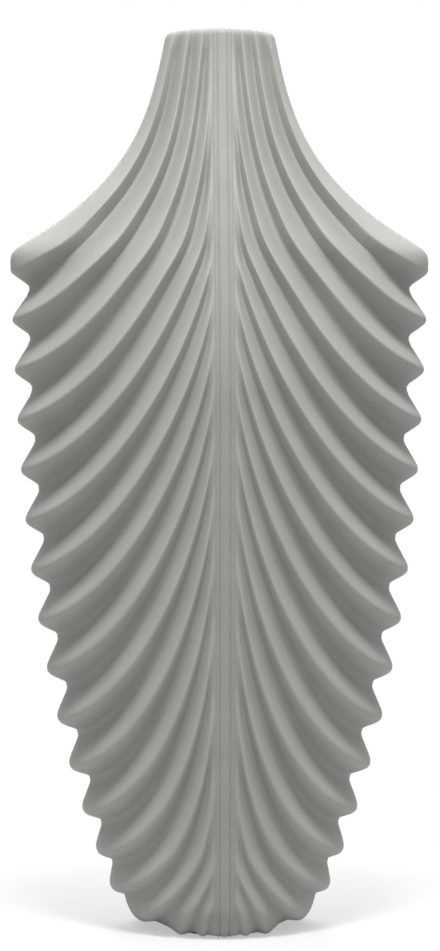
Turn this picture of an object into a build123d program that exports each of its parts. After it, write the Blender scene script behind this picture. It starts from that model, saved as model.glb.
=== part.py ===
"""Fan vase: two pressed pleated halves joined on a side seam, with a base slab, clay coils and a felt pad.

The front of the vase faces -Y, the side seam lies in the plane Y = 0, and the vase stands on Z = 0.
Ribs leave a raised spine on each face, sweep down and outward, and end as teeth on the side seam.
"""
import math
import os

from build123d import *

# Outline, seen from the front
HEIGHT = 400.0
SHOULDER_HEIGHT = 297.5
SHOULDER_WIDTH = 187.6
SHOULDER_BLUNT = 9.6
SHOULDER_POWER = 40.0
MOUTH_WIDTH = 48.2
FLARE_LEAN = 20.6
FLARE_POWER = 3.2
LOWER_WIDTH = 83.6
TAPER_LEAN = 11.0
TAPER_POWER = 3.0

# Outline, seen from the side
MOUTH_DEPTH = 40.0
BELLY_DEPTH = 92.0
BELLY_HEIGHT = 235.0
LOWER_DEPTH = 87.0

# Edges of the foot and of the lip
FOOT_ROUND = 14.0
FOOT_INSET = 8.5
FOOT_INSET_DEPTH = 4.5
LIP_ROUND = 6.0
LIP_INSET = 2.0

# Ribs: their numbers on the side seam, and how these grow towards the spine. Values in threes hold at
# the rim, at half height and at the foot.
FIRST_TIP_HEIGHT = 294.0
RIB_PITCH = 22.4
CLOSING_RIBS = 1.15
CLOSING_POWER = 9.0
FIRST_PHASE = -0.42
PHASE_BLEND = 0.4
SPREADS = (0.20, 1.14, 0.50)
GATHER_SPREAD = 0.40
GATHER_HEIGHT = 40.0
BOWS = (3.40, 2.37, 1.13)
BOW_CHANGE_HEIGHT = 237.0
BODY_BOW_POWER = 1.77
RIM_BOW_POWER = 1.0
RIB_SHOULDER_POWER = 10.0
RIB_SEAM_POWER = 8.0

# Pleats: the shape of a fold between two ribs, and its depth over the distance of the ribs
CREST_shares = (-0.06, 0.06)
VALLEY_shares = (0.36, 0.46)
TOP_BAND_shares = (0.75, 0.5)
LEAST_STRIP_share = 0.05
DEPTH_share = 0.41
SEAM_DEPTH_share = 0.32
SEAM_REACH_share = 0.6
NECK_DEPTH_share = 0.30
NECK_HEIGHT = 325.0
NECK_REACH = 40.0
FOOT_DEPTH_share = 0.5
FOOT_FADE = 70.0
EDGE_FADE = 20.0

# Spine
SPINE_WIDTH = 9.0
SPINE_GROOVE = 1.0
SPINE_FADE = 5.0

# Wall, base and joints
WALL = 4.5
INSIDE_FRONT_share = 0.9
INSIDE_RIM_share = 0.25
INSIDE_FOOT_share = 0.45
INSIDE_FADE = 30.0
BASE_THICKNESS = 7.0
BASE_RECESS = 1.0
COIL_THICKNESS = 3.5
COIL_WIDTH = 12.0
SEAM_COIL_TOP = 320.0

# Felt pad that holds the foot off the table
FELT_THICKNESS = 2.0
FELT_CLEARANCE = 1.0

# Working values
OVERRUN = 8.0
SLOPE_STEP = 0.05
POINTS_ON_RIB = 18
LEAST_ACROSS_share = 0.02
BISECTIONS = 48
CAVITY_shares = (0.0, 0.02, 0.05, 0.1, 0.2, 0.35, 0.5, 0.62, 0.7, 0.745, 0.78, 0.83, 0.9, 0.96, 1.0)

BASE_BOTTOM = FELT_THICKNESS
BASE_TOP = BASE_BOTTOM + BASE_THICKNESS
FOOT = BASE_BOTTOM - BASE_RECESS
BOTTOM = FOOT - OVERRUN


def smooth(share):
    """Ease from 0 to 1 with level ends."""
    share = min(max(share, 0.0), 1.0)
    return share * share * (3 - 2 * share)


def foot_turn(z):
    """Share of the rounded lower corner's inset that is left at a height."""
    return max(1 - (z - FOOT) / FOOT_ROUND, 0.0) ** 2


def lip_inset(z):
    """How far the rounded lip stands in at a height."""
    return LIP_INSET * max(1 - (HEIGHT - z) / LIP_ROUND, 0.0) ** 2


def outline(z, corner_power):
    """Half width of a flaring neck and a tapering body: a high power leaves a sharp corner between."""
    shoulder = SHOULDER_WIDTH / 2
    mouth = MOUTH_WIDTH / 2
    below_rim = max(HEIGHT - z, 0.0) / (HEIGHT - SHOULDER_HEIGHT)
    swell = shoulder + SHOULDER_BLUNT - mouth - FLARE_LEAN
    flare = mouth + FLARE_LEAN * below_rim + swell * below_rim ** FLARE_POWER
    fall = max(SHOULDER_HEIGHT - z, 0.0) / SHOULDER_HEIGHT
    draw = shoulder - TAPER_LEAN - LOWER_WIDTH / 2
    taper = shoulder - TAPER_LEAN * fall - draw * fall ** TAPER_POWER
    mean = (flare / shoulder) ** -corner_power + (taper / shoulder) ** -corner_power
    return shoulder * mean ** (-1 / corner_power)


def body_half_width(z):
    """Half width before the edges are rounded, with the blunt shoulder of the side seam."""
    return outline(z, SHOULDER_POWER)


def half_width(z):
    """Half width over the rib crests."""
    return body_half_width(z) - FOOT_INSET * foot_turn(z) - lip_inset(z)


def half_depth(z):
    """Half depth over the rib crests: fullest at the belly, slimmer at the mouth and the foot."""
    if z > BELLY_HEIGHT:
        belly = smooth((HEIGHT - z) / (HEIGHT - BELLY_HEIGHT))
        depth = MOUTH_DEPTH + (BELLY_DEPTH - MOUTH_DEPTH) * belly
    else:
        fall = (BELLY_HEIGHT - z) / BELLY_HEIGHT
        depth = BELLY_DEPTH - (BELLY_DEPTH - LOWER_DEPTH) * fall ** 2
    return depth / 2 - FOOT_INSET_DEPTH * foot_turn(z) - lip_inset(z)


def slope(profile, z):
    """Rate of change of a profile with height."""
    return (profile(z + SLOPE_STEP) - profile(z - SLOPE_STEP)) / (2 * SLOPE_STEP)


def edge_phase(z):
    """Rib number, counted from the shoulder, that ends on the side seam at a height."""
    drop = FIRST_TIP_HEIGHT - z
    closing = CLOSING_RIBS * (max(drop, 0.0) / FIRST_TIP_HEIGHT) ** CLOSING_POWER
    ribs = drop / RIB_PITCH + closing
    past = min(max(ribs - FIRST_PHASE + PHASE_BLEND, 0.0), 2 * PHASE_BLEND)
    return max(ribs, FIRST_PHASE + past ** 2 / (4 * PHASE_BLEND))


def through(values, z):
    """Parabola through its values at the rim, at half height and at the foot."""
    down = (HEIGHT - z) / HEIGHT
    rim, middle, foot = values
    ends = rim * (1 - down) * (1 - 2 * down) + foot * down * (2 * down - 1)
    return ends + middle * 4 * down * (1 - down)


def spread(z):
    """Ribs that lie between one distance from the spine and another e times as far."""
    return through(SPREADS, z) + GATHER_SPREAD * smooth(1 - z / GATHER_HEIGHT)


def bow_power(z):
    """Power of the bow in the ribs: steady on the body, easing to another at the rim."""
    up = smooth((z - BOW_CHANGE_HEIGHT) / (HEIGHT - BOW_CHANGE_HEIGHT))
    return BODY_BOW_POWER + (RIM_BOW_POWER - BODY_BOW_POWER) * up


def rib_phase(across, z):
    """Rib number at a share of the half width, taken of a rounder outline away from the seam."""
    rounder = body_half_width(z) / outline(z, RIB_SHOULDER_POWER)
    share = min(across * rounder ** (1 - across ** RIB_SEAM_POWER), 1.0)
    return edge_phase(z) - spread(z) * math.log(share) + through(BOWS, z) * (1 - share) ** bow_power(z)


def spine_phase(z):
    """Rib number that leaves the spine at a height."""
    return rib_phase(SPINE_WIDTH / 2 / body_half_width(z), z)


def where(phase_at, rib, low, high):
    """Place between low and high at which a falling function takes a rib number, found by halving."""
    if phase_at(low) <= rib:
        return low
    for _ in range(BISECTIONS):
        middle = (low + high) / 2
        if phase_at(middle) > rib:
            low = middle
        else:
            high = middle
    return low


def height_where(phase_at, rib):
    """Height at which a rib meets the line that phase_at follows, kept between bottom and rim."""
    return where(phase_at, rib, BOTTOM, HEIGHT)


def sunk(rib):
    """Share of the pleat depth at a rib number: 0 on a crest, 1 in a valley, 0 above the first crest."""
    if rib < 0:
        return 0.0
    part = rib - math.floor(rib)
    fall = (part - CREST_shares[1]) / (VALLEY_shares[0] - CREST_shares[1])
    rise = (1 + CREST_shares[0] - part) / (1 + CREST_shares[0] - VALLEY_shares[1])
    return max(min(fall, rise, 1.0), 0.0)


def neck_fade(z):
    """Share of the pleat depth at a height, more where the neck meets the shoulder."""
    return 1 + NECK_DEPTH_share * math.exp(-(((z - NECK_HEIGHT) / NECK_REACH) ** 2))


def foot_fade(z):
    """Share of the pleat depth at a height, less towards the foot, where the pleats run out."""
    return FOOT_DEPTH_share + (1 - FOOT_DEPTH_share) * smooth((z - FOOT) / FOOT_FADE)


def pleat_depth(across, z):
    """Depth of the pleats at a share of the half width: it follows the spacing of the ribs there."""
    turn = max(1 - across * across, LEAST_STRIP_share ** 2)
    along = math.sqrt(half_width(z) ** 2 + half_depth(z) ** 2 * across ** 2 / turn)
    power = bow_power(z)
    bowed = through(BOWS, z) * power * (1 - across) ** (power - 1)
    ribs_across = (spread(z) / across + bowed) / along
    spacing = 1 / math.hypot(ribs_across, 1 / RIB_PITCH)
    on_face = smooth(math.sqrt(1 - across * across) / SEAM_REACH_share)
    share = SEAM_DEPTH_share + (DEPTH_share - SEAM_DEPTH_share) * on_face
    return neck_fade(z) * foot_fade(z) * share * spacing


def rib_point(rib, z):
    """Point of the pleated front, right of the spine, on one rib line at one height."""
    width = half_width(z)
    depth = half_depth(z)
    across = 1.0
    if rib > edge_phase(z):
        across = where(lambda share: rib_phase(share, z), rib, LEAST_ACROSS_share, across)
    toward = math.sqrt(1 - across * across)
    leaving = smooth((across * body_half_width(z) - SPINE_WIDTH / 2) / SPINE_FADE)
    inward = (1 - leaving) * SPINE_GROOVE + leaving * sunk(rib) * pleat_depth(across, z)
    level = min((HEIGHT - z) / EDGE_FADE, max(z - FOOT, 0.0) / EDGE_FADE, 1.0)
    rise = across ** 2 * slope(half_width, z) / width + toward ** 2 * slope(half_depth, z) / depth
    normal = Vector(across / width, -toward / depth, -rise * level).normalized()
    return Vector(across * width, -toward * depth, z) - normal * inward


def rib_numbers():
    """Rib numbers of the lines that bound the strips, from the shoulder down to the foot."""
    corners = [FIRST_PHASE, spine_phase(HEIGHT), edge_phase(BOTTOM)]
    last = (spine_phase(FOOT) + spine_phase(BOTTOM)) / 2
    regular = [FIRST_PHASE * share for share in TOP_BAND_shares]
    for rib in range(math.ceil(last) + 1):
        regular += [rib + share for share in CREST_shares + VALLEY_shares]
    clear = [
        rib
        for rib in regular
        if rib < last - LEAST_STRIP_share
        and all(abs(rib - corner) > LEAST_STRIP_share for corner in corners)
    ]
    return sorted(corners + clear + [last])


def flip(point):
    """The same point left of the spine."""
    return Vector(-point.X, point.Y, point.Z)


def spine_arc(z):
    """Rounded top of the spine across the middle of the front, at one height."""
    edge = rib_point(spine_phase(z), z)
    return ThreePointArc(flip(edge), (0, -half_depth(z), edge.Z), edge).edge()


def pleated_half():
    """The front half of the vase as a solid block, from the pleated skin back to the seam plane."""
    steps = [smooth(step / (POINTS_ON_RIB - 1)) for step in range(POINTS_ON_RIB)]
    tops = []
    lines = []
    for rib in rib_numbers():
        top = height_where(spine_phase, rib)
        end = height_where(edge_phase, rib)
        tops.append(top)
        lines.append([rib_point(rib, top + (end - top) * step) for step in steps])
    lines[-1] = [lines[-1][0], lines[-1][-1]]
    curves = [Spline(*line).edge() for line in lines[:-1]] + [Line(*lines[-1]).edge()]
    strips = [Face.make_surface_from_curves(*pair) for pair in zip(curves, curves[1:])]

    # The spine runs down between the ribs of the two sides.
    from_rim = [line for line, top in zip(lines, tops) if top > HEIGHT - SLOPE_STEP]
    spine_end = rib_point(spine_phase(BOTTOM), BOTTOM)
    arcs = [spine_arc(z) for z in tops[len(from_rim) - 1:] + [BOTTOM]]
    spine = [Face.make_surface_from_curves(*pair) for pair in zip(arcs, arcs[1:])]
    heel = Face(Wire.make_polygon([lines[-1][0], lines[-1][1], spine_end]))

    # Flat faces close the half at the rim, under the foot and on the seam.
    rim_points = [line[0] for line in from_rim]
    rim_side = Polyline(*rim_points).edges()
    rim_line = Line(flip(rim_points[0]), rim_points[0]).edge()
    bottom_points = [line[-1] for line in lines if line[-1].Z < BOTTOM + SLOPE_STEP] + [spine_end]
    bottom_side = Polyline(*bottom_points).edges()
    bottom_line = Line(flip(bottom_points[0]), bottom_points[0]).edge()
    seam_points = [line[-1] for line in lines if line[-1].Z > BOTTOM + SLOPE_STEP]
    seam_side = [curves[0]] + Polyline(*seam_points, bottom_points[0]).edges()

    def both(edges):
        return list(edges) + [edge.mirror(Plane.YZ) for edge in edges]

    rim = Face(Wire.combine(both(rim_side) + [rim_line, arcs[0]])[0])
    bottom = Face(Wire.combine(both(bottom_side) + [bottom_line, arcs[-1]])[0])
    seam = Face(Wire.combine(both(seam_side) + [rim_line, bottom_line])[0])
    sides = strips + [heel]
    mirrored = [face.mirror(Plane.YZ) for face in sides]
    return Solid(Shell(sides + mirrored + spine + [rim, bottom, seam]))


def cavity_section(z, inset):
    """Half width and half depth of the smooth inside at a height, drawn in by an inset."""
    level = min(max(z, FOOT), HEIGHT)
    below_rim = smooth((HEIGHT - level) / (HEIGHT - SHOULDER_HEIGHT))
    at_rim = INSIDE_RIM_share + (1 - INSIDE_RIM_share) * below_rim
    at_foot = INSIDE_FOOT_share + (1 - INSIDE_FOOT_share) * smooth((level - FOOT) / INSIDE_FADE)
    pleat = SEAM_DEPTH_share * RIB_PITCH * neck_fade(level) * at_rim * at_foot
    across = half_width(level) - WALL - pleat - inset
    toward = half_depth(level) - WALL - pleat * INSIDE_FRONT_share - inset
    return across, toward


def cavity_sections(inset):
    """Sections of the inside from below the foot to above the rim."""
    heights = [FOOT + (HEIGHT - FOOT) * share for share in CAVITY_shares]
    sections = []
    for z in [BOTTOM] + heights + [HEIGHT + OVERRUN]:
        with BuildSketch(Plane.XY.offset(z)) as section:
            Ellipse(*cavity_section(z, inset))
        sections.append(section.sketch)
    return sections


def finish(piece, name):
    """Label a piece and write its file."""
    piece.part.label = name
    export_step(piece.part, f"parts/{name}.step")


os.makedirs("parts", exist_ok=True)
front_block = pleated_half()

# The smooth inside of the vase, and the same drawn in by the thickness of the clay coils
with BuildPart() as inside:
    loft(cavity_sections(0))

with BuildPart() as coil_inside:
    loft(cavity_sections(COIL_THICKNESS))

# Front half: pleated outside, smooth inside, cut level at the foot
with BuildPart() as front_shell:
    add(front_block)
    split(bisect_by=Plane.XY.offset(FOOT), keep=Keep.TOP)
    add(inside.part, mode=Mode.SUBTRACT)
finish(front_shell, "front_shell")

# Back half: the same pressing, turned to the back
with BuildPart() as back_shell:
    add(front_shell.part)
    mirror(about=Plane.XZ, mode=Mode.REPLACE)
finish(back_shell, "back_shell")

# Base slab: a plug of clay that fits the lower end of the inside
with BuildPart() as base_slab:
    add(inside.part)
    split(bisect_by=Plane.XY.offset(BASE_BOTTOM), keep=Keep.TOP)
    split(bisect_by=Plane.XY.offset(BASE_TOP), keep=Keep.BOTTOM)
finish(base_slab, "base_slab")

# Base coil: a band of clay pressed into the corner between the slab and the walls
BASE_COIL_TOP = BASE_TOP + COIL_WIDTH / 2
with BuildPart() as base_coil:
    add(inside.part)
    add(coil_inside.part, mode=Mode.SUBTRACT)
    split(bisect_by=Plane.XY.offset(BASE_TOP), keep=Keep.TOP)
    split(bisect_by=Plane.XY.offset(BASE_COIL_TOP), keep=Keep.BOTTOM)
finish(base_coil, "base_coil")

# Seam coils: bands of clay pressed over the inside of the two side seams
for name, inner_side in (("seam_coil_left", Align.MAX), ("seam_coil_right", Align.MIN)):
    with BuildPart() as seam_coil:
        add(inside.part)
        add(coil_inside.part, mode=Mode.SUBTRACT)
        with BuildSketch(Plane.XY.offset(BASE_COIL_TOP)):
            Rectangle(SHOULDER_WIDTH / 2, COIL_WIDTH, align=(inner_side, Align.CENTER))
        extrude(amount=SEAM_COIL_TOP - BASE_COIL_TOP, mode=Mode.INTERSECT)
    finish(seam_coil, name)

# Felt pad: an oval stuck in the recess under the base slab
with BuildPart() as felt_pad:
    with BuildSketch():
        Ellipse(*cavity_section(FOOT, FELT_CLEARANCE))
    extrude(amount=FELT_THICKNESS)
finish(felt_pad, "felt_pad")
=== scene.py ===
# %% [markdown]
# # A pleated fan vase
#
# The vase is a flat, tall ceramic vessel. Its two faces carry folds that leave a spine in the
# middle, hang down like the barbs of a feather and end as teeth on the sides. It is taken to be
# pressed as two halves, and the model keeps them apart. The hidden slab and coils of clay come from
# the construction model and only get a finish here. The two halves are made anew as fine surfaces,
# because their soft folds are what the eye sees, and so is the felt under the foot, which is soft.

# %% Load the construction model
import math

import bmesh
import bpy
import numpy as np
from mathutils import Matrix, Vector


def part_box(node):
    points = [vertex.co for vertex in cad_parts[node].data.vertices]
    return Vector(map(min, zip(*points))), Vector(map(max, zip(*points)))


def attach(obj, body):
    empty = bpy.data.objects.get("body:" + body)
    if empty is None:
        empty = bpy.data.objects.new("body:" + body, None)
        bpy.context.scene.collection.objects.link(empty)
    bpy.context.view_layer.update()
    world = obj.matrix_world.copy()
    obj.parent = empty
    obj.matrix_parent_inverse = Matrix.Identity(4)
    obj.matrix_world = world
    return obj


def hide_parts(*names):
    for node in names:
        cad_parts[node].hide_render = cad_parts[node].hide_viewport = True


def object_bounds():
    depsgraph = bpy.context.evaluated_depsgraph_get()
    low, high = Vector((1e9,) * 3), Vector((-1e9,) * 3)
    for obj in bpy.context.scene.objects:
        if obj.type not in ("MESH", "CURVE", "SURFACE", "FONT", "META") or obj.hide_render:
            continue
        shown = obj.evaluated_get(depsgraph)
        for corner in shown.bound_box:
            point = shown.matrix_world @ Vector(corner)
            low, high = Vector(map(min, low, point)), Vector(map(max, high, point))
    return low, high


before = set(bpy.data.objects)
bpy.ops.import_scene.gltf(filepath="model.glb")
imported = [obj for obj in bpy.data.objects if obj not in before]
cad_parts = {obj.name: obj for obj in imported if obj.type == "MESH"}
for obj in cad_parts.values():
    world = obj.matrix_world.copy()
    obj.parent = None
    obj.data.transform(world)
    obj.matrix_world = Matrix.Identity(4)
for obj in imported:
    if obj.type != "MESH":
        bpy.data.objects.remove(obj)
cad_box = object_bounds()
print("nodes:", sorted(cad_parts))
print("construction box:", cad_box)

# %% [markdown]
# ## The outline
#
# Seen from the front the vase has a flaring neck, a blunt shoulder and a long taper. One formula
# for each stretch, blended where they meet, describes that outline better than a list of points:
# it has no kinks, and a size can be changed in one place. All lengths are in metres, and every
# function takes whole arrays of heights.

# %% Outline seen from the front
HEIGHT = float(cad_box[1][2])
FOOT = float(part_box("front_shell")[0].z)
SHOULDER_HEIGHT = 0.2975
SHOULDER_WIDTH = 0.1876
SHOULDER_BLUNT = 0.0096
MOUTH_WIDTH = 0.0482
FLARE_LEAN = 0.0206
FLARE_POWER = 3.2
LOWER_WIDTH = 0.0836
TAPER_LEAN = 0.011
TAPER_POWER = 3.0
SHOULDER_POWER = 40.0


def outline(z, corner_power):
    """Half width: a neck that leans out and swells with a power of the depth below the rim, a body
    that leans in and tapers with a power of the depth below the shoulder, and a power mean of the
    two, which rounds the corner between them, the less the higher its power."""
    shoulder = SHOULDER_WIDTH / 2
    mouth = MOUTH_WIDTH / 2
    below_rim = np.maximum(HEIGHT - z, 0) / (HEIGHT - SHOULDER_HEIGHT)
    swell = shoulder + SHOULDER_BLUNT - mouth - FLARE_LEAN
    flare = mouth + FLARE_LEAN * below_rim + swell * below_rim ** FLARE_POWER
    fall = np.maximum(SHOULDER_HEIGHT - z, 0) / SHOULDER_HEIGHT
    draw = shoulder - TAPER_LEAN - LOWER_WIDTH / 2
    taper = shoulder - TAPER_LEAN * fall - draw * fall ** TAPER_POWER
    mean = (flare / shoulder) ** -corner_power + (taper / shoulder) ** -corner_power
    return shoulder * mean ** (-1 / corner_power)


def body_half_width(z):
    """Half width of the body on its side seam."""
    return outline(z, SHOULDER_POWER)


for level in (FOOT, 0.1, 0.2, SHOULDER_HEIGHT, HEIGHT):
    print(f"half width at {level:.3f}: {float(body_half_width(np.array(level))):.4f}")

# %% [markdown]
# From the side the vase is fullest at the belly and slim at the mouth. The photograph doesn't show
# this side, so the depth is a guess at about half the width. The lip and the foot are rounded as a
# potter's thumb would leave them: a quarter round at the lip, a wider turn under the foot. A bevel
# could round them afterwards, but it would also catch the folds, so the rounding is part of the
# outline.

# %% Outline seen from the side, lip and foot
MOUTH_DEPTH = 0.040
BELLY_DEPTH = 0.092
BELLY_HEIGHT = 0.235
LOWER_DEPTH = 0.087
FOOT_ROUND = 0.014
FOOT_INSET = 0.0085
FOOT_INSET_DEPTH = 0.0045
LIP_RADIUS = 0.0026


def smooth(share):
    """Ease from 0 to 1 with level ends: three squares of the share less two cubes."""
    share = np.clip(share, 0.0, 1.0)
    return share * share * (3 - 2 * share)


def foot_turn(z):
    """Share of the foot's inset that is left at a height: a parabola that ends at FOOT_ROUND."""
    return np.maximum(1 - (z - FOOT) / FOOT_ROUND, 0) ** 2


def round_in(z, radius):
    """How far a quarter of a circle below the rim stands in at a height."""
    up = np.clip(1 - (HEIGHT - z) / radius, 0, 1)
    return radius * (1 - np.sqrt(1 - up * up))


def body_half_depth(z):
    """Half depth: an ease from the mouth to the belly, then a parabola down to the foot."""
    belly = smooth((HEIGHT - z) / (HEIGHT - BELLY_HEIGHT))
    upper = MOUTH_DEPTH + (BELLY_DEPTH - MOUTH_DEPTH) * belly
    fall = np.maximum(BELLY_HEIGHT - z, 0) / BELLY_HEIGHT
    lower = BELLY_DEPTH - (BELLY_DEPTH - LOWER_DEPTH) * fall ** 2
    return np.where(z > BELLY_HEIGHT, upper, lower) / 2


def half_width(z):
    """Half width over the rib crests: the body's, less the rounding of the foot and the lip."""
    return body_half_width(z) - FOOT_INSET * foot_turn(z) - round_in(z, LIP_RADIUS)


def half_depth(z):
    """Half depth over the rib crests: the body's, less the rounding of the foot and the lip."""
    return body_half_depth(z) - FOOT_INSET_DEPTH * foot_turn(z) - round_in(z, LIP_RADIUS)


for level in (FOOT, BELLY_HEIGHT, HEIGHT - LIP_RADIUS, HEIGHT):
    print(f"half depth at {level:.3f}: {float(half_depth(np.array(level))):.4f}")

# %% [markdown]
# ## The rib lines
#
# Every place on a face gets a rib number. On the side seam the number grows downwards by one for
# each tooth. Towards the spine it grows in two ways: by a logarithm, which crowds the folds together
# beside the spine, and by a power of the way in, which bows them. A line of one number is then one
# fold, and the folds need no drawing by hand. The alternative, about thirty separate curves, would
# never meet the spine so evenly.

# %% Rib numbers on the seam
FIRST_TIP_HEIGHT = 0.2940
RIB_PITCH = 0.0224
CLOSING_RIBS = 1.15
CLOSING_POWER = 9.0
FIRST_RIB = -0.42
RIB_BLEND = 0.4


def edge_rib(z):
    """Rib number on the side seam: the drop below the first tooth over the pitch, plus a power of
    the drop that closes the lower teeth up, held at FIRST_RIB along the neck by a parabola."""
    drop = FIRST_TIP_HEIGHT - z
    closing = CLOSING_RIBS * (np.maximum(drop, 0) / FIRST_TIP_HEIGHT) ** CLOSING_POWER
    ribs = drop / RIB_PITCH + closing
    past = np.clip(ribs - FIRST_RIB + RIB_BLEND, 0, 2 * RIB_BLEND)
    return np.maximum(ribs, FIRST_RIB + past ** 2 / (4 * RIB_BLEND))


print("numbers down the seam:", edge_rib(np.linspace(HEIGHT, FOOT, 6)).round(2))

# %% [markdown]
# How much the folds crowd and bow changes with the height. Each of the two amounts is a parabola
# through three values, at the rim, at half height and at the foot, which is as much as can be read
# from a photograph. Two corrections follow: near the foot the folds gather a little more, and at
# the shoulder the lines go by a rounder outline, so that they pass its corner without a kink.

# %% Rib numbers across a face
SPREADS = (0.20, 1.14, 0.50)
FOOT_SPREAD = 0.40
FOOT_GATHER = 0.040
BOWS = (3.40, 2.37, 1.13)
BOW_CHANGE_HEIGHT = 0.237
BODY_BOW_POWER = 1.77
RIM_BOW_POWER = 1.0
RIB_SHOULDER_POWER = 10.0
RIB_SEAM_POWER = 8.0
SAMPLE_SHARES = np.array([1, 0.75, 0.5, 0.25, 0.1])


def through(values, z):
    """A parabola through its values at the rim, at half height and at the foot."""
    down = (HEIGHT - z) / HEIGHT
    rim, middle, foot = values
    ends = rim * (1 - down) * (1 - 2 * down) + foot * down * (2 * down - 1)
    return ends + middle * 4 * down * (1 - down)


def spread(z):
    """Ribs between one distance from the spine and another e times as far: a parabola, and more of
    them close above the foot, where the folds gather."""
    return through(SPREADS, z) + FOOT_SPREAD * smooth(1 - z / FOOT_GATHER)


def bow_power(z):
    """Power of the bow: steady on the body, easing to another at the rim."""
    up = smooth((z - BOW_CHANGE_HEIGHT) / (HEIGHT - BOW_CHANGE_HEIGHT))
    return BODY_BOW_POWER + (RIM_BOW_POWER - BODY_BOW_POWER) * up


def rib_share(across, z):
    """Share of the half width that the ribs go by: away from the seam it is taken of a rounder
    outline."""
    rounder = body_half_width(z) / outline(z, RIB_SHOULDER_POWER)
    return across * rounder ** (1 - across ** RIB_SEAM_POWER)


def rib_number(across, z):
    """Rib number at a share of the half width: the seam's, less the spread times the logarithm of
    the share that the ribs go by, plus the bow times a power of the way in from the seam."""
    share = rib_share(across, z)
    return edge_rib(z) - spread(z) * np.log(share) + through(BOWS, z) * (1 - share) ** bow_power(z)


print("numbers across the belly:", rib_number(SAMPLE_SHARES, np.array(BELLY_HEIGHT)).round(2))

# %% [markdown]
# The formula gives a number for a place. The grid below needs it the other way round: how far out a
# line lies at a height, and how high it meets the seam or the spine. Both are found by halving an
# interval, for all points at once, which needs no second formula.

# %% Places of the rib lines
SPINE_WIDTH = 0.0090
LEAST_ACROSS = 0.02
HALVINGS = 48


def spine_rib(z):
    """Rib number at the edge of the spine."""
    return rib_number(SPINE_WIDTH / 2 / body_half_width(z), z)


def halved(number_at, ribs, low, high):
    """Where a falling function takes these values, between low and high, by halving."""
    low = np.full(np.shape(ribs), low)
    high = np.full(np.shape(ribs), high)
    for _ in range(HALVINGS):
        middle = (low + high) / 2
        beyond = number_at(middle) > ribs
        low = np.where(beyond, middle, low)
        high = np.where(beyond, high, middle)
    return high


def across_where(rib, z):
    """Share of the half width at which a rib line lies at a height."""
    return halved(lambda across: rib_number(across, z), rib + 0 * z, LEAST_ACROSS, 1.0)


rim_rib = float(spine_rib(np.array(HEIGHT)))
heel_rib = float(edge_rib(np.array(FOOT)))
last_rib = float(spine_rib(np.array(FOOT)))
print(f"ribs: {FIRST_RIB} at the neck, {rim_rib:.2f} rim, {heel_rib:.2f} heel, {last_rib:.2f} last")

# %% [markdown]
# ## The fold
#
# A fold has a long upper flank that faces up and out and a short lower flank that looks down. The
# crest is crisp, because the mould was cut sharp there, and the valley is soft, because slip and
# glaze gather in it. So the wave is two straight flanks and a narrow level valley, with a small
# round on the crest, which widens towards the foot, and rounds where the flanks meet the valley.
# A sine would be simpler, but its crests and valleys are alike.

# %% Shape of one fold
VALLEY_START_SHARE = 0.34
VALLEY_END_SHARE = 0.41
TOP_CREST_SHARE = 0.055
FOOT_CREST_SHARE = 0.13
LOWER_ROUND_SHARE = 0.07
UPPER_ROUND_SHARE = 0.09
TOOTH_CREST_SHARE = 0.07
TOOTH_START_SHARE = 0.90
NECK_VALLEY_SHARE = 0.05
NECK_START = 0.265
NECK_RISE = 0.050


def neck_share(z):
    """Ease from 0 on the body to 1 on the neck."""
    return smooth((z - NECK_START) / NECK_RISE)


def crest_share(across, z):
    """Share of a rib that the crest's round takes: more towards the foot and on the teeth."""
    on_face = FOOT_CREST_SHARE + (TOP_CREST_SHARE - FOOT_CREST_SHARE) * smooth(z / SHOULDER_HEIGHT)
    return on_face + TOOTH_CREST_SHARE * smooth((across - TOOTH_START_SHARE) / (1 - TOOTH_START_SHARE))


def sunk(rib, across, z):
    """Share of the fold's depth: on each flank its slope climbs from 0 over the crest's round, is
    steady, and falls to 0 over the valley's round. The valley lies a little further from the crest
    above it on the neck. Above the first crest the skin is plain."""
    part = rib - np.floor(rib)
    shift = NECK_VALLEY_SHARE * neck_share(z)
    below = part < (VALLEY_START_SHARE + VALLEY_END_SHARE) / 2 + shift
    flank = np.where(below, VALLEY_START_SHARE + shift, 1 - VALLEY_END_SHARE - shift)
    along = np.minimum(np.where(below, part, 1 - part) / flank, 1)
    crest = crest_share(across, z) / flank
    valley = np.where(below, LOWER_ROUND_SHARE, UPPER_ROUND_SHARE) / flank
    straight = np.where(along < crest, along ** 2 / (2 * crest), along - crest / 2)
    bottom = np.maximum(along - (1 - valley), 0) ** 2 / (2 * valley)
    depth = (straight - bottom) / (1 - crest / 2 - valley / 2)
    return np.where(rib < 0, 0.0, depth)


sample_parts = np.array([0, 0.1, 0.2, 0.42, 0.7, 0.9])
print("fold at the belly:", sunk(sample_parts, 0.5, BELLY_HEIGHT).round(2))

# %% [markdown]
# The folds are as deep as their distance allows, like pleats in cloth: where they crowd together
# they are shallow. The distance comes from how quickly the rib number changes across the skin and
# down it. The change down is taken as one rib for each tooth everywhere. The true slope there would
# jump at the shoulder's corner, and a jump in depth shows as a dent.

# %% Depth of the folds
DEPTH_SHARE = 0.38
SEAM_DEPTH_SHARE = 0.32
SEAM_REACH_SHARE = 0.6
LEAST_TOWARD = 0.05


def rib_spacing(across, z):
    """Distance between ribs on the skin: one over the length of a gradient with two parts, the
    number's slope across over the length of the ellipse there, and one rib for each pitch down."""
    power = bow_power(z)
    toward = np.sqrt(np.maximum(1 - across ** 2, LEAST_TOWARD ** 2))
    along = np.hypot(body_half_width(z), body_half_depth(z) * across / toward)
    ribs_across = (spread(z) / across + through(BOWS, z) * power * (1 - across) ** (power - 1)) / along
    return 1 / np.hypot(ribs_across, 1 / RIB_PITCH)


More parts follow.
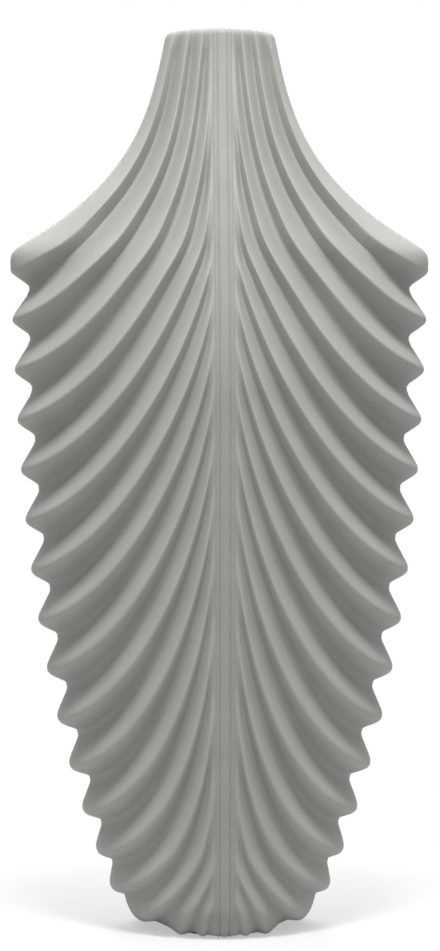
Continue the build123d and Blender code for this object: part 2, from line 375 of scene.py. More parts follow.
def depth_share(across):
    """Depth over distance of the ribs: it eases from its value on the faces to that on the seam."""
    toward = np.sqrt(np.maximum(1 - across ** 2, 0))
    return SEAM_DEPTH_SHARE + (DEPTH_SHARE - SEAM_DEPTH_SHARE) * smooth(toward / SEAM_REACH_SHARE)


print("rib spacing across the belly:", rib_spacing(SAMPLE_SHARES, np.array(BELLY_HEIGHT)).round(4))

# %% [markdown]
# The depth also changes with the height. Where the neck meets the shoulder the folds are cut deeper,
# because the clay is pulled together there. At the foot they run out to half, and at the lip the
# thumb that rounded it has pressed them a little flat. Three smooth factors do this, so that the
# inside can use the first of them alone.

# %% Deeper and shallower places
NECK_DEPTH_SHARE = 0.62
NECK_HEIGHT = 0.350
NECK_REACH = 0.050
FOOT_DEPTH_SHARE = 0.5
FOOT_FADE = 0.070
LIP_DEPTH_SHARE = 0.6
LIP_FADE = 0.014


def neck_fade(z):
    """Share of the depth at a height, more by a bell curve where the neck meets the shoulder."""
    return 1 + NECK_DEPTH_SHARE * np.exp(-((z - NECK_HEIGHT) / NECK_REACH) ** 2)


def end_fade(z):
    """The same share with the folds running out towards the foot and, over a short way, the lip."""
    at_lip = LIP_DEPTH_SHARE + (1 - LIP_DEPTH_SHARE) * smooth((HEIGHT - z) / LIP_FADE)
    at_foot = FOOT_DEPTH_SHARE + (1 - FOOT_DEPTH_SHARE) * smooth((z - FOOT) / FOOT_FADE)
    return neck_fade(z) * at_lip * at_foot


print("depth factor from rim to foot:", end_fade(np.linspace(HEIGHT, FOOT, 6)).round(2))

# %% [markdown]
# ## The skin of one side
#
# The skin right of the spine is a grid: each row follows one rib number, each column a share of the
# way from the spine or the rim down to the seam or the foot. Rows crowd where the fold turns, and
# columns crowd at both ends, where the lip, the foot and the side turn quickly. A grid that runs
# along the folds keeps their crests clean, which a plain upright grid would cut into steps.

# %% Rows of one side
EDGE_ROWS = 48
BAND_ROWS = 16
LIP_ROWS = 9
ROWS_PER_RIB = 22
CREST_CROWDING = 4.0
VALLEY_CROWDING = 1.5
CROWDING_REACH = 0.08
TABLE_STEPS = 20000


def rows_between(first, last, number):
    """Rib numbers from first to last at equal steps of a sum of densities: 1, plus a bell at each
    crest and a lower one at each valley."""
    table = np.linspace(first, last, TABLE_STEPS)
    to_crest = (table - np.round(table)) / CROWDING_REACH
    to_valley = (table - np.floor(table) - VALLEY_START_SHARE) / CROWDING_REACH
    density = 1 + CREST_CROWDING * np.exp(-to_crest ** 2) + VALLEY_CROWDING * np.exp(-to_valley ** 2)
    total = np.cumsum(density) - density[0]
    return np.interp(np.linspace(0, total[-1], number), total, table)


# Rows that start on the rim: a plain band beside the seam, then folds as far as the spine.
band = FIRST_RIB * (1 - np.linspace(0, 1, BAND_ROWS) ** 2)
upper = np.concatenate([band[:-1], rows_between(0, rim_rib, EDGE_ROWS - BAND_ROWS + 1)])
# Rows from the spine to the seam: the first few follow the lip's quarter round.
middle_rows = int(round((heel_rib - rim_rib) * ROWS_PER_RIB))
lip_ribs = spine_rib(HEIGHT - LIP_RADIUS * (1 - np.sin(np.linspace(np.pi / 2, 0, LIP_ROWS))))
middle = np.concatenate([lip_ribs[:-1], rows_between(lip_ribs[-1], heel_rib, middle_rows)])
# Rows that end on the foot.
lower = rows_between(heel_rib, last_rib, EDGE_ROWS)
row_ribs = np.concatenate([upper, middle[1:], lower[1:]])
rim_row = EDGE_ROWS - 1
heel_row = rim_row + len(middle) - 1
print("rows:", len(row_ribs), "rim row:", rim_row, "heel row:", heel_row)

# %% [markdown]
# Each row needs the heights of its two ends. The first rows start on the rim and the last ones end
# on the foot, so there the height is known. All others come from the halving above.

# %% Heights, columns and shares of one side
COLUMNS = 64

top_heights = halved(spine_rib, row_ribs, FOOT, HEIGHT)
top_heights[:rim_row + 1] = HEIGHT
top_heights[-1] = FOOT
end_heights = halved(edge_rib, row_ribs, FOOT, HEIGHT)
end_heights[heel_row:] = FOOT
column_shares = smooth(np.linspace(0, 1, COLUMNS))
skin_z = top_heights[:, None] + (end_heights - top_heights)[:, None] * column_shares
skin_rib = row_ribs[:, None] + 0 * skin_z
skin_across = across_where(skin_rib, skin_z)
print("grid of one side:", skin_z.shape)

# %% [markdown]
# A fold is pressed into a smooth body, so each point of the skin starts on the ellipse at its height
# and moves inwards. The usual direction for that is the normal, the line square to the surface. On
# the flaring neck the normal points up and out, and folds sunk along it would lean: seen from the
# front, one flank would hide the other. So there the folds sink straight to the back.

# %% Directions on the skin
SLOPE_STEP = 0.00005
FRONT = np.array((0, -1, 0))
STRAIGHT_REACH_SHARE = 0.15


def slope(profile, z):
    """Rate of change of a profile with height, by a central difference."""
    return (profile(z + SLOPE_STEP) - profile(z - SLOPE_STEP)) / (2 * SLOPE_STEP)


def smooth_point(across, z):
    """Place on the smooth body: an ellipse of the half width and half depth at that height."""
    toward = np.sqrt(np.maximum(1 - across ** 2, 0))
    return np.stack([across * half_width(z), -toward * half_depth(z), z + 0 * across], axis=-1)


def skin_normal(across, z):
    """Outward normal of the smooth body: the gradient of the ellipse at that height."""
    toward = np.sqrt(np.maximum(1 - across ** 2, 0))
    width = half_width(z)
    depth = half_depth(z)
    rise = across ** 2 * slope(half_width, z) / width + toward ** 2 * slope(half_depth, z) / depth
    normal = np.stack([across / width, -toward / depth, -rise], axis=-1)
    return normal / np.linalg.norm(normal, axis=-1, keepdims=True)


def fold_direction(across, z):
    """Direction out of the folds: the normal on the body and the seam, straight to the front on
    the neck, and a mix of the two between them."""
    share = neck_share(z) * smooth((1 - across) / STRAIGHT_REACH_SHARE)
    direction = skin_normal(across, z) * (1 - share)[..., None] + FRONT * share[..., None]
    return direction / np.linalg.norm(direction, axis=-1, keepdims=True)


sample_heights = np.array([BELLY_HEIGHT, SHOULDER_HEIGHT, NECK_HEIGHT])
print("directions at belly, shoulder and neck:")
print(fold_direction(0 * sample_heights + 0.5, sample_heights).round(2))

# %% [markdown]
# Now the grid gets its points. Beside the spine the folds fade into a narrow groove, which sets the
# spine off as the photograph shows. The points on the seam are then put exactly into its plane, so
# that the two halves meet without a gap. How near each point is to a crest is kept for the glaze,
# which paints shade into the valleys and a highlight onto the crests from it.

# %% Points of one side
SPINE_FADE = 0.0035
SPINE_GROOVE = 0.0007


def skin_point(rib, across, z):
    """Place on the folded skin: the smooth body, sunk against the fold's direction by the fold
    there, with a narrow groove beside the spine."""
    leaving = smooth((across * body_half_width(z) - SPINE_WIDTH / 2) / SPINE_FADE)
    depth = depth_share(across) * rib_spacing(across, z) * end_fade(z)
    inward = (1 - leaving) * SPINE_GROOVE + leaving * sunk(rib, across, z) * depth
    return smooth_point(across, z) - fold_direction(across, z) * inward[..., None]


right_skin = skin_point(skin_rib, skin_across, skin_z)
right_skin[0, :, 1] = 0
right_skin[:heel_row + 1, -1, 1] = 0
crest_of_skin = 1 - sunk(skin_rib, skin_across, skin_z)
print("right side from", right_skin.min((0, 1)).round(4), "to", right_skin.max((0, 1)).round(4))

# %% [markdown]
# ## The spine
#
# Between the two sides runs a flat midrib with a fine line near each edge, like the quill of a
# feather. A separate strip laid on the skin would show a step or a gap. This one takes its edge
# points from the skin beside it, row by row, so no gap can open.

# %% Points of the spine
SPINE_COLUMNS = 21
LINE_DEPTH = 0.0006
LINE_PLACE_SHARE = 0.52
LINE_WIDTH_SHARE = 0.10
BEAD_SHARE = 0.80
LEFT = np.array((-1, 1, 1))


def spine_point(share, z):
    """Place on the spine at a share from -1 to 1 of its half width: the smooth body, sunk by two
    fine bell shaped lines and by the groove, which eases in outside BEAD_SHARE."""
    across = share * (SPINE_WIDTH / 2) / body_half_width(z)
    off_line = (np.abs(share) - LINE_PLACE_SHARE) / LINE_WIDTH_SHARE
    groove = SPINE_GROOVE * smooth((np.abs(share) - BEAD_SHARE) / (1 - BEAD_SHARE))
    inward = LINE_DEPTH * np.exp(-off_line ** 2) + groove
    return smooth_point(across, z) - skin_normal(across, z) * inward[..., None]


spine_shares = np.linspace(1, -1, SPINE_COLUMNS)
spine_z = top_heights[rim_row:, None] + 0 * spine_shares
spine_skin = spine_point(spine_shares + 0 * spine_z, spine_z)
spine_skin[:, 0] = right_skin[rim_row:, 0]
spine_skin[:, -1] = right_skin[rim_row:, 0] * LEFT
print("spine grid:", spine_skin.shape[:2])

# %% [markdown]
# ## The inside
#
# The inside was smoothed with a sponge, so it has plain oval sections. Solidify could give the skin
# a wall, but the wall would repeat every fold inside. So the inside is a grid of its own: its rows
# lie at the heights of the seam's points, and its columns at angles that go over from the lip's
# points to the foot's. The rows and columns then match what they have to be joined to.

# %% Points of the inside
WALL = 0.0045
INSIDE_FOLD = SEAM_DEPTH_SHARE * RIB_PITCH
INSIDE_RIM_SHARE = 0.25
INSIDE_FOOT_SHARE = 0.45
INSIDE_FRONT_SHARE = 0.9
INSIDE_FADE = 0.030
INNER_LIP = 0.0010


def inside_point(angle, z):
    """Place on the smooth inside: an ellipse that stands a wall and a fold inside the outline, and
    opens by a small quarter round at the mouth."""
    below_rim = smooth((HEIGHT - z) / (HEIGHT - SHOULDER_HEIGHT))
    at_rim = INSIDE_RIM_SHARE + (1 - INSIDE_RIM_SHARE) * below_rim
    at_foot = INSIDE_FOOT_SHARE + (1 - INSIDE_FOOT_SHARE) * smooth((z - FOOT) / INSIDE_FADE)
    fold = INSIDE_FOLD * neck_fade(z) * at_rim * at_foot
    opening = round_in(z, INNER_LIP) + round_in(z, LIP_RADIUS)
    across = half_width(z) - WALL - fold + opening
    toward = half_depth(z) - WALL - fold * INSIDE_FRONT_SHARE + opening
    return np.stack([across * np.cos(angle), -toward * np.sin(angle), z + 0 * angle], axis=-1)


def ring_angles(ribs, z):
    """Angles, from one side of the half to the other, of points that lie on rib lines at a height."""
    side = across_where(ribs, z)
    across = spine_shares[1:-1] * (SPINE_WIDTH / 2) / body_half_width(z)
    return np.arccos(np.concatenate([side, across, -side[::-1]]))


seam_z = np.concatenate([skin_z[0], end_heights[1:heel_row + 1]])
rim_angles = ring_angles(row_ribs[:rim_row + 1], np.array(HEIGHT))
foot_angles = ring_angles(row_ribs[heel_row:], np.array(FOOT))
down_share = ((HEIGHT - seam_z) / (HEIGHT - FOOT))[:, None]
inside_angle = rim_angles + (foot_angles - rim_angles) * down_share
inside = inside_point(inside_angle, seam_z[:, None] + 0 * inside_angle)
inside[:, (0, -1), 1] = 0
print("inside grid:", inside.shape[:2])

# %% [markdown]
# Four narrow faces close the half: the lip around the mouth, the ring under the foot, and the two
# seam faces that touch the other half. Blender can fill such gaps by itself, but its fill makes
# long triangles. Rows that match point by point are joined by straight lines instead, which gives
# even quads.

# %% Strips that close the half
STRIP_COLUMNS = 5


def strip(outer, inner):
    """A ruled strip: straight lines from each outer point to the inner point beside it."""
    shares = np.linspace(0, 1, STRIP_COLUMNS)[:, None, None]
    return outer + (inner - outer) * shares


rim_side = right_skin[:rim_row + 1, 0]
foot_side = right_skin[heel_row:, -1]
rim_ring = np.concatenate([rim_side, spine_skin[0, 1:-1], (rim_side * LEFT)[::-1]])
foot_ring = np.concatenate([foot_side, spine_skin[-1, 1:-1], (foot_side * LEFT)[::-1]])
seam_side = np.concatenate([right_skin[0], right_skin[1:heel_row + 1, -1]])
lip = strip(rim_ring, inside[0])
foot = strip(foot_ring, inside[-1])
right_seam = strip(seam_side, inside[:, 0])
left_seam = strip(seam_side * LEFT, inside[:, -1])
print("lip points:", len(rim_ring), "foot points:", len(foot_ring), "seam points:", len(seam_side))

# %% [markdown]
# ## From grids to a mesh
#
# The half is eight grids: the skin right and left of the spine, the spine, the inside and the four
# strips. Some of them run the other way round, and their quads have to be turned so that every face
# points outwards. The crest value goes with each point: 1 on a crest, 0 in a valley, a low value on
# the spine, and one value all over on the rest, which has no folds. The glaze turns it into painted
# shade in the valleys and, a little less, on the spine, and a painted highlight on the crests.

# %% Grids of the front half
PLAIN_CREST = 0.5
# The spine's low crest value gives it painted shade in the glaze.
SPINE_CREST = 0.2
front_grids = [
    (right_skin, crest_of_skin, False),
    (right_skin * LEFT, crest_of_skin, True),
    (spine_skin, SPINE_CREST, True),
    (lip, PLAIN_CREST, False),
    (inside, PLAIN_CREST, False),
    (foot, PLAIN_CREST, True),
    (right_seam, PLAIN_CREST, True),
    (left_seam, PLAIN_CREST, False),
]
print("points before merging:", sum(points.shape[0] * points.shape[1] for points, _, _ in front_grids))

# %% [markdown]
# Each grid gives its points and its quads in one go. The grids are put together, and bmesh merges
# the points that coincide. Two measures test the result: in a closed shell every edge belongs to two
# faces, and its volume, summed over its faces, is positive when the faces point outwards. Smooth
# shading hides the quads, except across edges that turn by more than a set angle.

# %% Mesh of several grids
MERGE_DISTANCE = 1e-6
SHARP_ANGLE = math.radians(50)
CUBIC_CENTIMETRE = 1e-6
CREST = "crest"


def quads(rows, columns, start, turned):
    """Corner numbers of a grid's quads, in the other order where the grid has to be turned."""
    first = start + np.arange(rows - 1)[:, None] * columns + np.arange(columns - 1)
    corners = np.stack([first, first + columns, first + columns + 1, first + 1], axis=-1).reshape(-1, 4)
    return corners[:, ::-1] if turned else corners


def open_edges(mesh):
    """Number of edges that don't belong to exactly two faces."""
    edges = np.empty(len(mesh.loops), dtype=np.int32)
    mesh.loops.foreach_get("edge_index", edges)
    return int(np.count_nonzero(np.bincount(edges, minlength=len(mesh.edges)) != 2))


def shell_mesh(name, grids, turned):
    """One mesh of several grids, each with its crest values and whether its quads are turned. All
    are turned once more where the whole is a mirror image."""
    starts = np.cumsum([0] + [points.shape[0] * points.shape[1] for points, _, _ in grids])
    places = np.concatenate([points.reshape(-1, 3) for points, _, _ in grids])
    levels = [np.broadcast_to(crest, points.shape[:2]).ravel() for points, crest, _ in grids]
    crests = np.concatenate(levels)
    faces = np.concatenate(
        [quads(*points.shape[:2], start, turn != turned) for (points, _, turn), start in zip(grids, starts)]
    )
    mesh = bpy.data.meshes.new(name)
    mesh.from_pydata(places, [], faces)
    mesh.attributes.new(CREST, "FLOAT", "POINT").data.foreach_set("value", crests.astype(np.float32))
    work = bmesh.new()
    work.from_mesh(mesh)
    bmesh.ops.remove_doubles(work, verts=work.verts, dist=MERGE_DISTANCE)
    work.to_mesh(mesh)
    volume = work.calc_volume(signed=True) / CUBIC_CENTIMETRE
    work.free()
    print(f"{name}: {len(mesh.polygons)} faces, {open_edges(mesh)} open edges, {volume:.1f} cm3")
    mesh.shade_smooth()
    mesh.set_sharp_from_angle(angle=SHARP_ANGLE)
    return mesh


front_mesh = shell_mesh("front_half", front_grids, False)

# %% [markdown]
# The back half is the same pressing turned round.

# %% The two halves
BACK = np.array((1, -1, 1))


def add_piece(name, mesh):
    """A new object with its place in its mesh."""
    piece = bpy.data.objects.new(name, mesh)
    bpy.context.scene.collection.objects.link(piece)
    return piece


front_half = add_piece("front_half", front_mesh)
back_grids = [(points * BACK, crest, turn) for points, crest, turn in front_grids]
back_half = add_piece("back_half", shell_mesh("back_half", back_grids, True))
for half, node in ((front_half, "front_shell"), (back_half, "back_shell")):
    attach(half, "root")
    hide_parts(node)

# %% [markdown]
# ## The glaze
#
# The glaze is a dull, slightly greenish grey. A real matte glaze is never one colour: it varies a
# little over some centimetres and has a fine grain. Here the colour is also lighter over the crests
# and darker in the valleys, which is a painted highlight and painted shade. A painted image could
# hold all that, but it would have to be fitted to the folds. Nodes need no image: they read Object
# coordinates, which are metres on the piece, and the mesh's crest value.

# %% Start of the glaze
def new_material(name):
    """A material, its node tree, and the shader that Blender puts into a new tree."""
    material = bpy.data.materials.new(name)
    material.use_nodes = True
    return material, material.node_tree, material.node_tree.nodes["Principled BSDF"]


glaze, glaze_tree, glaze_shader = new_material("matte_grey_glaze")
print("nodes of a new material:", [node.name for node in glaze_tree.nodes])

# %% [markdown]
# Two noises vary the grey: a slow one, where the glaze lay thicker or thinner over some centimetres,
# and a fine one for the specks of a matte glaze, which are about as large as grains of sand. A Color
# Ramp turns each noise into a colour or into a factor. Its two stops lie close together, because
# noise seldom goes far from its middle value.

# %% Mottle and specks of the glaze
GREY = (0.405, 0.411, 0.383)
MOTTLE_WAVES = 45
MOTTLE_TONES = (0.97, 1.03)
SPECK_WAVES = 1500
SPECK_TONES = (0.91, 1.0)
NOISE_SPAN = (0.35, 0.65)


def noise(tree, waves, detail):
    """A noise on Object coordinates, with its waves per metre."""
    texture = tree.nodes.new("ShaderNodeTexNoise")
    texture.inputs["Scale"].default_value = waves
    texture.inputs["Detail"].default_value = detail
    place = tree.nodes.new("ShaderNodeTexCoord")
    tree.links.new(place.outputs["Object"], texture.inputs["Vector"])
    return texture.outputs["Fac"]


def ramp(tree, value, span, colours):
    """Two colours for a value: one up to the start of a span, one from its end, a blend between."""
    node = tree.nodes.new("ShaderNodeValToRGB")
    for element, place, colour in zip(node.color_ramp.elements, span, colours):
        element.position = place
        element.color = (*colour, 1)
    tree.links.new(value, node.inputs["Fac"])
    return node.outputs["Color"]


def shades(colour, tones):
    """A colour made lighter or darker by each of several factors."""
    return [tuple(channel * tone for channel in colour) for tone in tones]


def greys(tones):
    """Neutral colours, one for each tone."""
    return shades((1, 1, 1), tones)


mottle = ramp(glaze_tree, noise(glaze_tree, MOTTLE_WAVES, detail=3), NOISE_SPAN, shades(GREY, MOTTLE_TONES))
speck = ramp(glaze_tree, noise(glaze_tree, SPECK_WAVES, detail=2), NOISE_SPAN, greys(SPECK_TONES))
print("greys of the glaze:", np.round(shades(GREY, MOTTLE_TONES), 3).tolist())

# %% [markdown]
# The painted shade in the valleys and the painted highlight on the crests come from the crest value
# of the mesh, through an Attribute node. It could be taken from how sharply the surface bends, but
# that measure depends on the mesh's quads, and the crest value is exact. The three colours are
# multiplied.

# %% Painted shade in the valleys, painted highlight on the crests
# Painted shade: the valleys keep 0.84 of the colour, and the crests keep all of it as a painted highlight.
VALLEY_PAINTED_SHADE = 0.84
CREST_PAINTED_HIGHLIGHT = 1.0
PAINTED_LIGHT_SPAN = (0.0, 0.95)
MIX_COLOURS = (6, 7)
MIX_RESULT = 2


def multiply(tree, first, second):
    """One colour times another: the Mix node keeps its colour sockets behind those for numbers."""
    node = tree.nodes.new("ShaderNodeMix")
    node.data_type = "RGBA"
    node.blend_type = "MULTIPLY"
    node.inputs["Factor"].default_value = 1
    for colour, socket in zip((first, second), MIX_COLOURS):
        tree.links.new(colour, node.inputs[socket])
    return node.outputs[MIX_RESULT]


# The crest value becomes painted shade in the valleys and a painted highlight on the crests.
attribute = glaze_tree.nodes.new("ShaderNodeAttribute")
attribute.attribute_name = CREST
painted_shade_and_highlight = ramp(glaze_tree, attribute.outputs["Fac"], PAINTED_LIGHT_SPAN, greys((VALLEY_PAINTED_SHADE, CREST_PAINTED_HIGHLIGHT)))
glaze_colour = multiply(glaze_tree, multiply(glaze_tree, mottle, speck), painted_shade_and_highlight)
glaze_tree.links.new(glaze_colour, glaze_shader.inputs["Base Color"])
print("tone from valley to crest:", VALLEY_PAINTED_SHADE, "to", CREST_PAINTED_HIGHLIGHT)

# %% [markdown]
# A matte glaze scatters light with a surface of tiny crystals. Its roughness is high and varies a
# little, and a Bump node adds a grain too fine to be worth real geometry: the folds themselves are
# in the mesh.

# %% Grain and gloss of the glaze
ROUGH_WAVES = 700
ROUGH_SPAN = (0.3, 0.7)
ROUGHNESS = (0.58, 0.70)
GRAIN_WAVES = 1300
GLAZE_SPECULAR = 0.35


def grain(tree, shader, value, height, strength):
    """Fine relief from a value: height in metres at a strength."""
    node = tree.nodes.new("ShaderNodeBump")
    node.inputs["Distance"].default_value = height
    node.inputs["Strength"].default_value = strength
    tree.links.new(value, node.inputs["Height"])
    tree.links.new(node.outputs["Normal"], shader.inputs["Normal"])


rough = ramp(glaze_tree, noise(glaze_tree, ROUGH_WAVES, detail=2), ROUGH_SPAN, greys(ROUGHNESS))
glaze_tree.links.new(rough, glaze_shader.inputs["Roughness"])
grain(glaze_tree, glaze_shader, noise(glaze_tree, GRAIN_WAVES, detail=3), height=0.0003, strength=0.18)
glaze_shader.inputs["Specular IOR Level"].default_value = GLAZE_SPECULAR
for half in (front_half, back_half):
    half.data.materials.append(glaze)
print("glaze nodes:", len(glaze_tree.nodes))

# %% [markdown]
# ## The bare clay
#
# The slab and the coils inside are the same clay without glaze: paler, warmer and quite dull, with
# grog, which is crushed fired clay, showing as small dark grains. Their shapes in the construction
# model are right, so they only get this finish in place of their plain one.

# %% Bare clay
CLAY = (0.55, 0.52, 0.47)
BODY_WAVES = 50
BODY_SPAN = (0.3, 0.7)
BODY_TONES = (0.93, 1.05)
GROG_WAVES = 1100
GROG_SPAN = (0.36, 0.46)
GROG_COLOURS = ((0.72, 0.70, 0.68), (1, 1, 1))
CLAY_GRAIN_WAVES = 900
CLAY_ROUGHNESS = 0.92
CLAY_NODES = ("base_slab", "base_coil", "seam_coil_left", "seam_coil_right")


def bare_clay():
    """Pale clay, mottled over two centimetres, with grog grains of about a millimetre."""
    material, tree, shader = new_material("bare_clay")
    body = ramp(tree, noise(tree, BODY_WAVES, detail=4), BODY_SPAN, shades(CLAY, BODY_TONES))
    grog = ramp(tree, noise(tree, GROG_WAVES, detail=2), GROG_SPAN, GROG_COLOURS)
    tree.links.new(multiply(tree, body, grog), shader.inputs["Base Color"])
    grain(tree, shader, noise(tree, CLAY_GRAIN_WAVES, detail=4), height=0.0004, strength=0.3)
    shader.inputs["Roughness"].default_value = CLAY_ROUGHNESS
    return material


clay = bare_clay()
for name in CLAY_NODES:
    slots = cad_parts[name].data.materials
    slots.clear()
    slots.append(clay)
print("bare clay on:", CLAY_NODES)

# %% [markdown]
# ## The felt
#
# The pad under the foot keeps the fired clay off the table. It is cut from a sheet of pressed wool,
# so its edge is rounded a little and wavers by a few tenths of a millimetre. A plain disc would look
# punched from plastic.

# %% Felt pad
EDGE_WAVES = 7
WAVER = 0.0004
FELT_TURNS = 97
ROUND_POINTS = 9
FLAT_SHARES = np.array([0, 0.35, 0.7, 0.9])


def felt_points():
    """An oval pad as a grid of turns along its section: out on the underside, around a half round
    and back on top. The waver only takes away, so that the pad stays in its recess."""
    low, high = (np.array(corner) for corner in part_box("felt_pad"))
    half_thick = (high[2] - low[2]) / 2
    level = 0 * FLAT_SHARES
    round_turn = np.linspace(-np.pi / 2, np.pi / 2, ROUND_POINTS)
    reach = np.concatenate([FLAT_SHARES, 1 + 0 * round_turn, FLAT_SHARES[::-1]])[:, None]
    out = half_thick * np.concatenate([level, np.cos(round_turn), level])[:, None]
    up = half_thick * np.concatenate([level - 1, np.sin(round_turn), level + 1])[:, None]
    turns = np.linspace(0, 2 * np.pi, FELT_TURNS)
    half = (high - low) / 2 - half_thick - WAVER * (1 + np.sin(EDGE_WAVES * turns))[:, None] / 2
    x = (reach * half[:, 0] + out) * np.cos(turns)
    y = (reach * half[:, 1] + out) * np.sin(turns)
    return np.stack([x, y, low[2] + half_thick + up + 0 * x], axis=-1)


felt = add_piece("felt", shell_mesh("felt", [(felt_points(), PLAIN_CREST, True)], False))
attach(felt, "root")
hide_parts("felt_pad")

# %% [markdown]
# Pressed wool shows short fibres in many tones of grey and a soft sheen. Hair curves would show more
# than anyone sees under a foot. A noise that is stretched one way and distorted looks like matted
# fibres, and the shader's sheen gives the bloom of wool.

# %% Pressed felt
FELT = (0.20, 0.20, 0.19)
FIBRE_WAVES = 900
FIBRE_STRETCH = (1, 0.25, 1)
FIBRE_DISTORTION = 2.5
FIBRE_SPAN = (0.3, 0.7)
FIBRE_TONES = (0.7, 1.35)
FELT_ROUGHNESS = 0.97
FELT_SHEEN = 0.3


def pressed_felt():
    """Dark wool whose fibres are a noise stretched one way, with sheen on top."""
    material, tree, shader = new_material("pressed_felt")
    fibres = noise(tree, FIBRE_WAVES, detail=4)
    texture = fibres.node
    texture.inputs["Distortion"].default_value = FIBRE_DISTORTION
    stretch = tree.nodes.new("ShaderNodeMapping")
    stretch.inputs["Scale"].default_value = FIBRE_STRETCH
    tree.links.new(texture.inputs["Vector"].links[0].from_socket, stretch.inputs["Vector"])
    tree.links.new(stretch.outputs["Vector"], texture.inputs["Vector"])
    tree.links.new(ramp(tree, fibres, FIBRE_SPAN, shades(FELT, FIBRE_TONES)), shader.inputs["Base Color"])
    grain(tree, shader, fibres, height=0.0005, strength=0.5)
    shader.inputs["Roughness"].default_value = FELT_ROUGHNESS
    shader.inputs["Sheen Weight"].default_value = FELT_SHEEN
    return material


felt.data.materials.append(pressed_felt())
print("felt finish:", felt.data.materials[0].name)

# %% [markdown]
# ## The stage
#
# The vase stands on a pale floor that fades into white, so that only its own soft shadow is seen.
# The floor is a disc, a grid of rings and spokes whose rings widen outwards. A plane would do, but
# its corners could come into a view.

# %% Floor disc
FLOOR_RADIUS = 12.0
FLOOR_RINGS = 25
FLOOR_SPOKES = 65


def floor_mesh():
    """A disc as a grid of rings and spokes, with rings that widen as a square."""
    rings = FLOOR_RADIUS * np.linspace(0, 1, FLOOR_RINGS)[:, None] ** 2
    turns = np.linspace(0, 2 * np.pi, FLOOR_SPOKES)
    points = np.stack([rings * np.cos(turns), rings * np.sin(turns), 0 * rings + 0 * turns], axis=-1)
    return shell_mesh("floor", [(points, PLAIN_CREST, False)], False)


floor = add_piece("floor", floor_mesh())

# %% [markdown]
# A floor lit from above throws light back at the vase from below, and a white one would fill the
# shaded flanks. So the floor has two tones: a pale one for rays that look at it, from the camera or
# by way of a gloss or a glass, and a darker one for rays that only carry light. The Light Path node
# tells them apart, which saves a second floor.

# %% Tone of the floor
PALE = 0.90
BOUNCE = 0.60
FLOOR_ROUGHNESS = 0.9


def looked_at(tree):
    """1 for camera, glossy and transmitted rays, 0 for rays that carry light."""
    path = tree.nodes.new("ShaderNodeLightPath")
    total = path.outputs["Is Camera Ray"]
    for ray in ("Is Glossy Ray", "Is Transmission Ray"):
        most = tree.nodes.new("ShaderNodeMath")
        most.operation = "MAXIMUM"
        tree.links.new(total, most.inputs[0])
        tree.links.new(path.outputs[ray], most.inputs[1])
        total = most.outputs["Value"]
    return total


floor_finish, floor_tree, floor_shader = new_material("pale_floor")
floor_tone = ramp(floor_tree, looked_at(floor_tree), (0, 1), greys((BOUNCE, PALE)))
floor_tree.links.new(floor_tone, floor_shader.inputs["Base Color"])
floor_shader.inputs["Roughness"].default_value = FLOOR_ROUGHNESS
floor.data.materials.append(floor_finish)
print("floor looks", PALE, "and gives back", BOUNCE)

# %% [markdown]
# Away from the vase, plain white takes the floor over, so that it has no horizon. The share of white
# grows with the distance from the vase, which is the length of the Object coordinates. It is never
# the whole close to the foot, so the floor keeps the shadow there.

# %% Floor that fades into white
SHADOW_START = 0.05
SHADOW_RADIUS = 0.30
LEAST_WHITE = 0.45


def white_share(tree):
    """Share of white on the floor: an ease from LEAST_WHITE at SHADOW_START to 1 at SHADOW_RADIUS,
    for rays that look."""
    place = tree.nodes.new("ShaderNodeTexCoord")
    distance = tree.nodes.new("ShaderNodeVectorMath")
    distance.operation = "LENGTH"
    tree.links.new(place.outputs["Object"], distance.inputs[0])
    away = tree.nodes.new("ShaderNodeMapRange")
    away.interpolation_type = "SMOOTHSTEP"
    away.inputs["From Min"].default_value = SHADOW_START
    away.inputs["From Max"].default_value = SHADOW_RADIUS
    away.inputs["To Min"].default_value = LEAST_WHITE
    tree.links.new(distance.outputs["Value"], away.inputs["Value"])
    seen = tree.nodes.new("ShaderNodeMath")
    seen.operation = "MULTIPLY"
    tree.links.new(away.outputs["Result"], seen.inputs[0])
    tree.links.new(looked_at(tree), seen.inputs[1])
    return seen.outputs["Value"]


def blend_shaders(tree, share, first, second, output):
    """Send a mix of two shaders to the tree's output: the first, with a share of the second."""
    mix = tree.nodes.new("ShaderNodeMixShader")
    tree.links.new(share, mix.inputs["Fac"])
    tree.links.new(first, mix.inputs[1])
    tree.links.new(second, mix.inputs[2])
    tree.links.new(mix.outputs["Shader"], tree.nodes[output].inputs["Surface"])


white = floor_tree.nodes.new("ShaderNodeEmission").outputs["Emission"]
blend_shaders(floor_tree, white_share(floor_tree), floor_shader.outputs["BSDF"], white, "Material Output")
print("floor nodes:", len(floor_tree.nodes))

# %% [markdown]
# The world is the room around the vase. It gives an even fill, as white walls would, and it looks
# white. A fill as bright as it looks would flatten the folds, so the two are kept apart in the same
# way as on the floor. The Standard view transform shows colours as they are written.

# %% World
FILL = 0.472


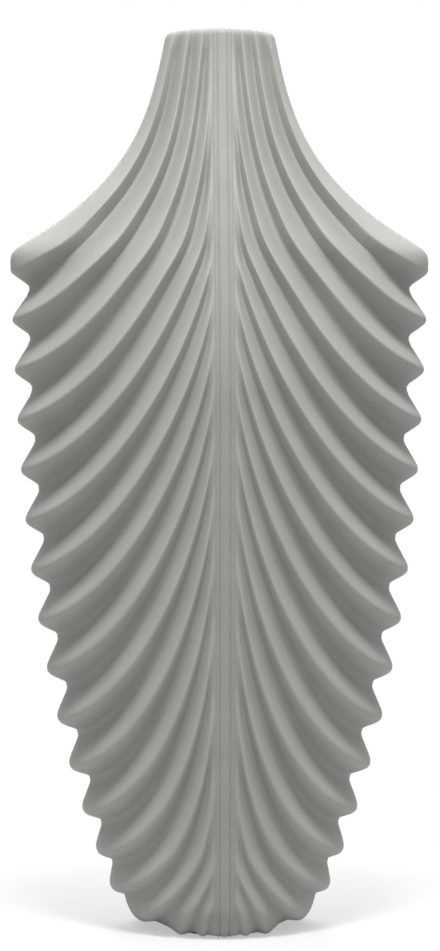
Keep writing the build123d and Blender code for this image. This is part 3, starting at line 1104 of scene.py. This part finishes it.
def white_world():
    """White where it is looked at, a quieter even fill where it only gives light."""
    world = bpy.data.worlds.new("studio")
    world.use_nodes = True
    tree = world.node_tree
    fill = tree.nodes["Background"]
    plain = tree.nodes.new("ShaderNodeBackground")
    for background, strength in ((fill, FILL), (plain, 1)):
        background.inputs["Color"].default_value = (1, 1, 1, 1)
        background.inputs["Strength"].default_value = strength
    blend_shaders(
        tree, looked_at(tree), fill.outputs["Background"], plain.outputs["Background"], "World Output"
    )
    return world


bpy.context.scene.world = white_world()
bpy.context.scene.view_settings.view_transform = "Standard"
print("fill:", FILL)

# %% [markdown]
# A lamp of about a hand's span hangs above the vase and a little in front. The upper flanks of the
# folds take its light and the lower ones stay in shade, which is what makes the folds readable. A
# wider lamp would soften the line between the two more than the photograph does. A second, broader
# lamp does the same for the back.

# %% Lamps
def aim(thing, place, target):
    """Put a lamp or a camera at a place, looking at a target."""
    thing.location = place
    direction = np.array(target) - np.array(place)
    flat = math.hypot(direction[0], direction[1])
    tilt = math.atan2(flat, -direction[2])
    thing.rotation_euler = (tilt, 0, math.atan2(-direction[0], direction[1]))


def soft_lamp(name, place, target, size, power):
    """A square area lamp."""
    lamp = bpy.data.lights.new(name, "AREA")
    lamp.size = size
    lamp.energy = power
    holder = bpy.data.objects.new(name, lamp)
    bpy.context.scene.collection.objects.link(holder)
    aim(holder, place, target)


soft_lamp("overhead", place=(0, -0.30, 0.92), target=(0, 0, 0.25), size=0.24, power=6.3)
soft_lamp("behind", place=(0, 0.75, 0.62), target=(0, 0, 0.2), size=0.5, power=5.0)

# %% [markdown]
# ## The camera
#
# The photograph fits a camera a little over a metre away, slightly above half the vase's height and
# slightly to the left, which shows in the spine standing a few pixels right of the middle. The lens
# is a long one, so that the vase fills the frame from there.

# %% Camera
CAMERA_PLACE = (-0.067, -1.3325, 0.2368)
CAMERA_TARGET = (0.0, 0.0, 0.2020)
SENSOR_HEIGHT = 36.0
LENS = 112.5

camera = bpy.data.cameras.new("camera")
camera.sensor_fit = "VERTICAL"
camera.sensor_height = SENSOR_HEIGHT
camera.lens = LENS
viewer = bpy.data.objects.new("camera", camera)
bpy.context.scene.collection.objects.link(viewer)
aim(viewer, CAMERA_PLACE, CAMERA_TARGET)
bpy.context.scene.camera = viewer
print("camera at", CAMERA_PLACE)
